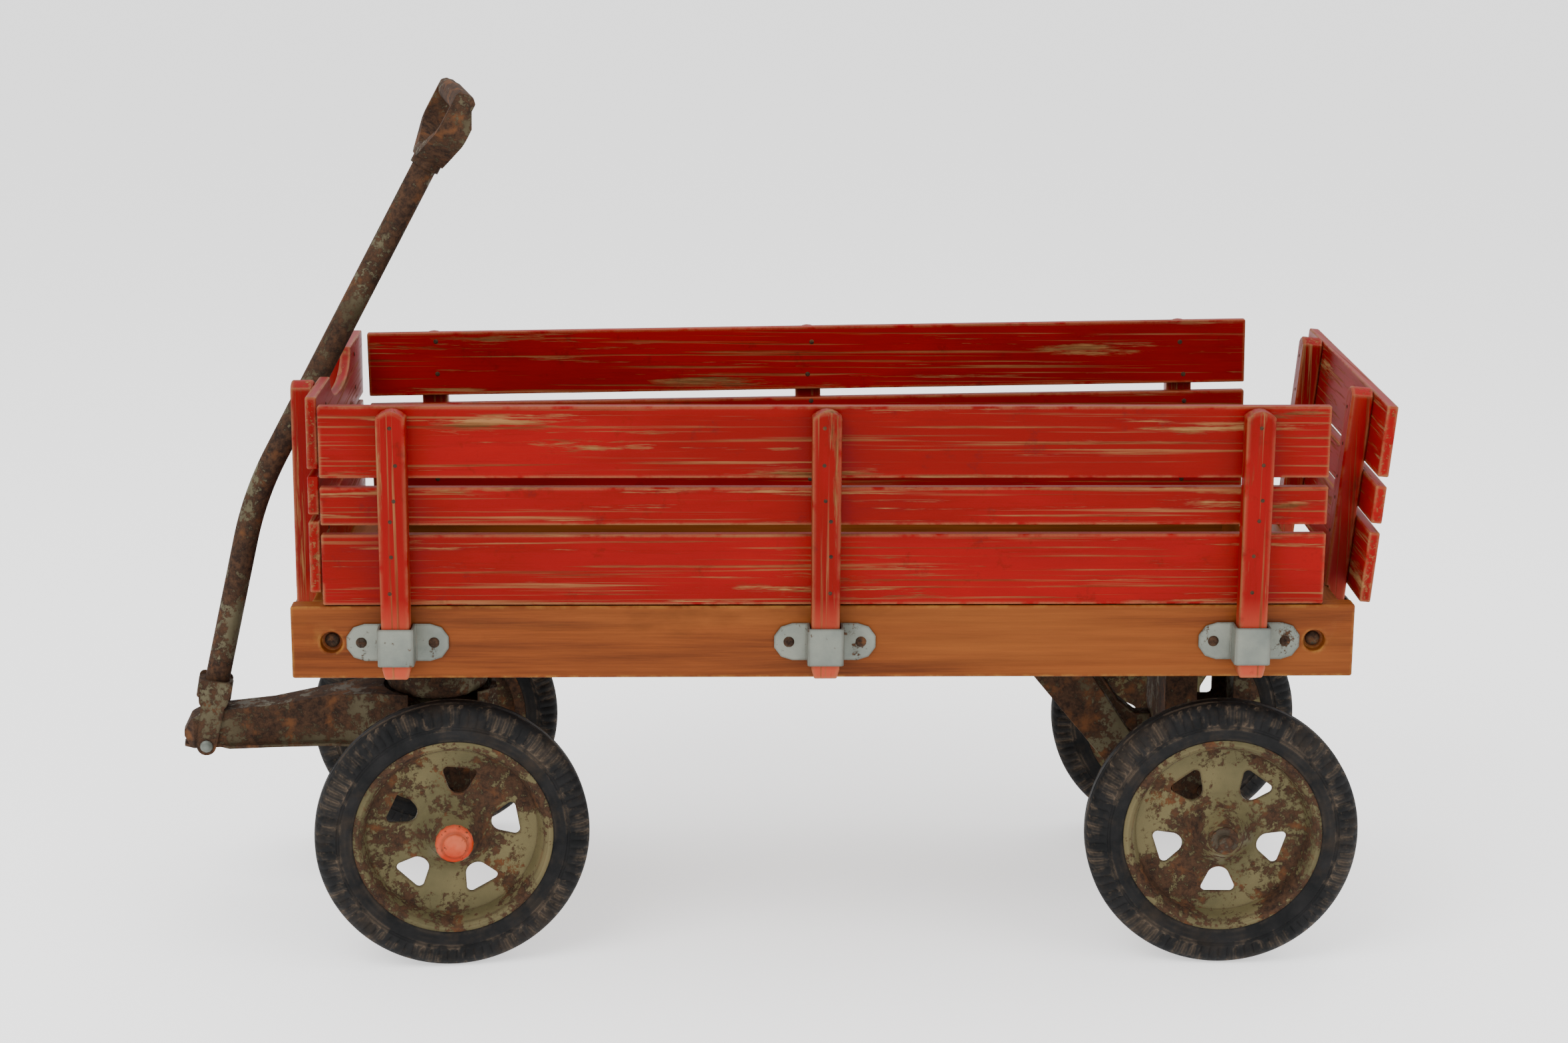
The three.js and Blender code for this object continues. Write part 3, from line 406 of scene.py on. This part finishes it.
def window_prism():
    points = []
    for x, z, radius in WINDOW_CIRCLES:
        for i in range(24):
            angle = 2 * math.pi * i / 24
            points.append(Vector((x + radius * math.cos(angle), z + radius * math.sin(angle))))
    outline = [points[i] for i in geometry.convex_hull_2d(points)]
    graph = bmesh.new()
    for k in range(WINDOWS):
        turn = Matrix.Rotation(2 * math.pi * k / WINDOWS, 4, "Y")
        inner, outer = (
            [graph.verts.new(turn @ Vector((p.x, y, p.y)) * MM) for p in outline] for y in (-14, 10)
        )
        graph.faces.new(inner)
        graph.faces.new(list(reversed(outer)))
        for i in range(len(inner)):
            k = (i + 1) % len(inner)
            graph.faces.new((inner[i], outer[i], outer[k], inner[k]))
    bmesh.ops.recalc_face_normals(graph, faces=graph.faces)
    mesh = bpy.data.meshes.new("windows")
    graph.to_mesh(mesh)
    graph.free()
    return mesh


def wheel_mesh():
    """Pressed disc with its five windows cut through."""
    scene = bpy.context.scene.collection.objects
    disc = bpy.data.objects.new("disc", revolved("disc", WHEEL_PROFILE, WHEEL_STEPS))
    cutter = bpy.data.objects.new("cutter", window_prism())
    scene.link(disc)
    scene.link(cutter)
    boolean = disc.modifiers.new("windows", "BOOLEAN")
    boolean.object = cutter
    boolean.solver = "EXACT"
    round_over = disc.modifiers.new("pressed edges", "BEVEL")
    round_over.width = 0.7 * MM
    round_over.limit_method = "ANGLE"
    round_over.angle_limit = math.radians(50)
    bpy.context.view_layer.update()
    mesh = bpy.data.meshes.new_from_object(disc.evaluated_get(bpy.context.evaluated_depsgraph_get()))
    for helper in (disc, cutter):
        bpy.data.objects.remove(helper)
    return mesh


def build_wheels():
    tyre, disc = tyre_mesh(), wheel_mesh()
    for name, phase in WHEEL_PHASES.items():
        joint = JOINT[name + "_wheel_turn"]
        axis = Vector(joint["axis"])
        side = -1 if name.endswith("left") else 1
        across = Vector((axis.y, -axis.x, 0))
        up = Vector((0, 0, side))
        turn = Matrix((across, side * axis, up)).transposed().to_4x4()
        place = Matrix.Translation(joint["pos_m"]) @ turn @ Matrix.Rotation(phase, 4, "Y")
        body = name + "_wheel_body"
        for kind, mesh, slot in (("tyre", tyre, "tyre_rubber"), ("wheel", disc, "wheel_paint")):
            piece = add_piece(f"{name}_{kind}_look", mesh.copy(), MATERIALS[kind], body, place)
            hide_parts(f"{name}_{kind}")


def handle_place():
    joint = JOINT["handle_fold"]
    left = Vector(joint["axis"])
    across = Vector((-left.y, left.x, 0))
    turn = Matrix((across, -left, Vector((0, 0, 1)))).transposed().to_4x4()
    return Matrix.Translation(joint["pos_m"]) @ turn


def tube_path():
    lower = Vector((math.sin(LOWER_LEAN), 0, math.cos(LOWER_LEAN)))
    upper = Vector((math.sin(UPPER_LEAN), 0, math.cos(UPPER_LEAN)))
    foot = Vector((TUBE_FOOT_X, 0, 0))
    start = foot + lower * (TUBE_START_Z / lower.z)
    corner = foot + lower * (TUBE_BEND_Z / lower.z)
    top = corner + upper * ((TUBE_TOP_Z - TUBE_BEND_Z) / upper.z)
    before, after = corner - lower * BEND_REACH, corner + upper * BEND_REACH
    path = [start]
    for i in range(17):
        t = i / 16
        path.append(before * (1 - t) ** 2 + corner * (2 * t * (1 - t)) + after * t ** 2)
    return path + [top]


def tube_mesh():
    path, sides = tube_path(), 32
    graph = bmesh.new()
    rings = []
    for i, point in enumerate(path):
        tangent = (path[min(i + 1, len(path) - 1)] - path[max(i - 1, 0)]).normalized()
        normal = Vector((0, 1, 0)).cross(tangent)
        ring = []
        for k in range(sides):
            angle = 2 * math.pi * k / sides
            offset = (normal * math.cos(angle) + Vector((0, 1, 0)) * math.sin(angle)) * TUBE_R
            ring.append(graph.verts.new((point + offset) * MM))
        rings.append(ring)
    for a, b in zip(rings, rings[1:]):
        for k in range(sides):
            graph.faces.new((a[k], a[(k + 1) % sides], b[(k + 1) % sides], b[k]))
    graph.faces.new(rings[0])
    graph.faces.new(rings[-1])
    bmesh.ops.recalc_face_normals(graph, faces=graph.faces)
    mesh = bpy.data.meshes.new("tube")
    graph.to_mesh(mesh)
    graph.free()
    mesh.shade_smooth()
    mesh.set_sharp_from_angle(angle=math.radians(40))
    return mesh


def build_handle_tube():
    steel, place = MATERIALS["steel"], handle_place()
    piece = add_piece("handle_tube_look", tube_mesh(), steel, "handle", place)
    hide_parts("handle_tube")


# ------------------------------------------------------------------ fasteners
def screw_mesh(radius, rise, slotted=True):
    """Round head about +Z, sunk a little, with a screwdriver slot across it."""
    graph = bmesh.new()
    arc = [(radius * math.cos(t), rise * math.sin(t)) for t in (0, 0.35, 0.7, 1.05, 1.35)]
    rings = []
    for r, z in [(radius, -0.4)] + arc:
        ring = []
        for k in range(24):
            angle = 2 * math.pi * k / 24
            x, y = r * math.cos(angle), r * math.sin(angle)
            dip = 0.9 if slotted and abs(y) < radius * 0.2 and z > 0.3 else 0.0
            ring.append(graph.verts.new(Vector((x, y, z - dip)) * MM))
        rings.append(ring)
    for a, b in zip(rings, rings[1:]):
        for k in range(24):
            graph.faces.new((a[k], a[(k + 1) % 24], b[(k + 1) % 24], b[k]))
    graph.faces.new(rings[-1])
    graph.faces.new(list(reversed(rings[0])))
    mesh = bpy.data.meshes.new("screw")
    graph.to_mesh(mesh)
    graph.free()
    mesh.shade_smooth()
    mesh.set_sharp_from_angle(angle=math.radians(50))
    return mesh


def facing(point, normal, spin=0.0):
    turn = normal.to_track_quat("Z", "Y").to_matrix().to_4x4()
    return Matrix.Translation(point) @ turn @ Matrix.Rotation(spin, 4, "Z")


def merged(name, mesh, places, material, body):
    """One piece of many copies of a small mesh."""
    graph = bmesh.new()
    for place in places:
        copy = mesh.copy()
        copy.transform(place)
        graph.from_mesh(copy)
        bpy.data.meshes.remove(copy)
    whole = bpy.data.meshes.new(name)
    graph.to_mesh(whole)
    graph.free()
    return add_piece(name, whole, material, body)


def corners(node):
    low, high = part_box(node)
    return Vector(low), Vector(high)


def build_bracket_screws():
    places = []
    for node in BODY_OF:
        if "_bracket_" not in node:
            continue
        low, high = corners(node)
        middle = (low + high) / 2
        across = node.startswith(("front", "rear"))
        side = -1 if node.startswith(("left", "front")) else 1
        normal = Vector((side, 0, 0)) if across else Vector((0, side, 0))
        run = Vector((0, 1, 0)) if across else Vector((1, 0, 0))
        back = {"left": low.y, "right": high.y, "front": low.x, "rear": high.x}[node.split("_")[0]]
        sheet_face = back - side * BRACKET_STANDOFF * MM
        for step in (-1, 1):
            point = middle + run * (step * SCREW_OFFSET * MM)
            if across:
                point.x = sheet_face
            else:
                point.y = sheet_face
            places.append(facing(point, normal, random.uniform(0, math.pi)))
    merged("bracket_screws", screw_mesh(4.7, 2.6), places, MATERIALS["dark"], "bed")


def build_rail_bolts():
    places = []
    for node, side in (("left_rail", -1), ("right_rail", 1)):
        low, high = corners(node)
        middle = (low + high) / 2
        seat = (high.y if side > 0 else low.y) - side * BOLT_SEAT * MM
        for x in (-RAIL_BOLT_X, RAIL_BOLT_X):
            point = Vector((middle.x + x * MM, seat, middle.z))
            places.append(facing(point, Vector((0, side, 0)), random.uniform(0, 3)))
    merged("rail_bolts", screw_mesh(6.4, 3.4), places, MATERIALS["dark"], "bed")


def build_nails():
    """Two nails where each stake crosses each board: heads on the board's inner face."""
    head = screw_mesh(2.3, 0.7, slotted=False)
    tip = screw_mesh(1.7, 0.4, slotted=False)
    for panel in ("left", "right", "front", "rear"):
        across = panel in ("front", "rear")
        key = 0 if across else 1
        stakes = [n for n in BODY_OF if n.startswith(panel + "_stake_")]
        boards = [n for n in BODY_OF if n.startswith(panel + "_board_")]
        places = []
        for stake in stakes:
            stake_low, stake_high = corners(stake)
            centre = (stake_low + stake_high) / 2
            for board in boards:
                low, high = corners(board)
                middle = (low + high) / 2
                stake_side = 1 if centre[key] > middle[key] else -1
                spread = min(NAIL_SPREAD * MM, (high.z - low.z) * 0.27)
                for step in (-1, 1):
                    point = middle.copy()
                    point[1 - key] = centre[1 - key] + random.uniform(-NAIL_SCATTER, NAIL_SCATTER) * MM
                    point.z = middle.z + step * spread
                    places.append((board, stake, point, stake_side))
        add_nail_heads(panel, places, key, head, tip)


def surface_of(node):
    mesh = frame["nodes"][node].data
    return BVHTree.FromPolygons([v.co for v in mesh.vertices], [p.vertices for p in mesh.polygons])


def add_nail_heads(panel, places, key, head, tip):
    spots = []
    for board, stake, point, side in places:
        for node, mesh, direction in ((board, head, -side), (stake, tip, side)):
            normal = Vector((0, 0, 0))
            normal[key] = direction
            place, _, _, _ = surface_of(node).ray_cast(point + normal * 0.1, -normal)
            if place is not None:
                spots.append((mesh, facing(place, normal)))
    for kind, mesh in (("heads", head), ("tips", tip)):
        chosen = [place for used, place in spots if used is mesh]
        if chosen:
            name = f"{panel}_nail_{kind}"
            merged(name, mesh, chosen, MATERIALS["dark"], panel + "_panel")


# ------------------------------------------------------------------ studio
def build_studio():
    bpy.ops.mesh.primitive_plane_add(size=30)
    floor = bpy.context.object
    graph = Graph("studio_floor")
    floor.data.materials.append(graph.finish((0.93, 0.93, 0.93, 1), 0.75))
    graph.shader.inputs["Emission Color"].default_value = (1, 1, 1, 1)
    graph.shader.inputs["Emission Strength"].default_value = 0.8
    world = bpy.data.worlds.new("studio")
    bpy.context.scene.world = world
    world.use_nodes = True
    sky = world.node_tree.nodes["Background"]
    sky.inputs["Color"].default_value = (1, 1, 1, 1)
    sky.inputs["Strength"].default_value = 1.15
    for name, place, size, power in (
        ("key", (-1.6, -2.2, 3.0), 2.2, 95),
        ("fill", (2.4, -2.0, 1.8), 2.5, 35),
        ("top", (0.2, 0.6, 3.2), 2.6, 45),
    ):
        lamp = bpy.data.lights.new(name, "AREA")
        lamp.size = size
        lamp.energy = power
        light = bpy.data.objects.new(name, lamp)
        bpy.context.scene.collection.objects.link(light)
        light.location = place
        aim = Vector((0, 0, 0.3)) - light.location
        light.rotation_euler = aim.to_track_quat("-Z", "Y").to_euler()


def place_camera():
    lens = bpy.data.cameras.new("camera")
    lens.sensor_width = 36
    lens.lens = CAMERA_LENS
    camera = bpy.data.objects.new("camera", lens)
    bpy.context.scene.collection.objects.link(camera)
    heading = Matrix.Rotation(math.radians(CAMERA_TURN), 4, "Z")
    tilt = Matrix.Rotation(math.radians(90 - CAMERA_DOWN), 4, "X")
    roll = Matrix.Rotation(math.radians(CAMERA_ROLL), 4, "Z")
    camera.matrix_world = Matrix.Translation(CAMERA_PLACE) @ heading @ tilt @ roll
    bpy.context.scene.camera = camera


REBUILT = ("_tyre", "_wheel", "handle_tube")
for node in BODY_OF:
    if not node.endswith(REBUILT):
        soften(node)
build_wheels()
build_handle_tube()
build_bracket_screws()
build_rail_bolts()
build_nails()
build_studio()
place_camera()
